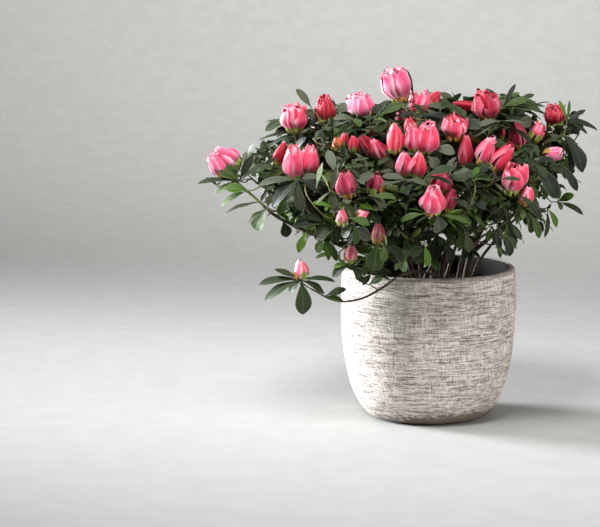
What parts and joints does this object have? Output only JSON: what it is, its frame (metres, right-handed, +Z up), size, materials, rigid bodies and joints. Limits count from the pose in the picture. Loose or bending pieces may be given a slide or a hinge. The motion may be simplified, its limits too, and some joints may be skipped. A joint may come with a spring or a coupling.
{
  "type": "azalea shrub in ceramic pot",
  "caption": "Flowering azalea shrub with a broad, flat-topped crown of small dark leaves and pink half-open blooms on thin stems, in a round-bellied whitewashed ceramic pot.",
  "frame": {"origin": "centre of the pot's flat underside, where the part stands", "axes": "+Z is up, -Y is the front that the picture shows, +X is to the right of that front and runs along the longest side"},
  "size_m": [0.4165, 0.3203, 0.3615],
  "materials": {
    "whitewashed_ceramic": "matt whitewash brushed over rough taupe clay",
    "potting_soil": "rough dark crumbs",
    "bark": "thin ridged brown bark, green on the young shoots",
    "foliage": "small glossy dark green leaves",
    "blossom": "satin petals, pale pink to coral red"
  },
  "bodies": {
    "root": {"pot": "whitewashed_ceramic", "root_ball": "potting_soil", "main_stem": "bark", "left_stem": "bark", "front_stem": "bark", "back_stem": "bark", "bough_left_long": "bark", "bough_droop_inner": "bark", "bough_droop_outer": "bark", "bough_right": "bark", "bough_right_low": "bark", "bough_right_back": "bark", "bough_right_front": "bark", "bough_right_top": "bark", "bough_left_top": "bark", "bough_left_front": "bark", "bough_front": "bark", "bough_back": "bark", "bough_back_left": "bark", "bough_top": "bark", "foliage_edge_1": "foliage", "foliage_edge_2": "foliage", "foliage_edge_3": "foliage", "foliage_edge_4": "foliage", "foliage_edge_5": "foliage", "foliage_edge_6": "foliage", "foliage_edge_7": "foliage", "foliage_edge_8": "foliage", "foliage_edge_9": "foliage", "foliage_upper_1": "foliage", "foliage_upper_2": "foliage", "foliage_upper_3": "foliage", "foliage_upper_4": "foliage", "foliage_upper_5": "foliage", "foliage_upper_6": "foliage", "foliage_low_1": "foliage", "foliage_low_2": "foliage", "foliage_low_3": "foliage", "foliage_low_4": "foliage", "foliage_low_5": "foliage", "foliage_low_6": "foliage", "foliage_low_7": "foliage", "foliage_top": "foliage", "foliage_crest": "foliage", "foliage_crest_right": "foliage", "foliage_crest_left": "foliage", "foliage_far_left": "foliage", "foliage_far_right": "foliage", "foliage_rim_left": "foliage", "foliage_rim_front": "foliage", "foliage_droop": "foliage"}
  },
  "joints": []
}
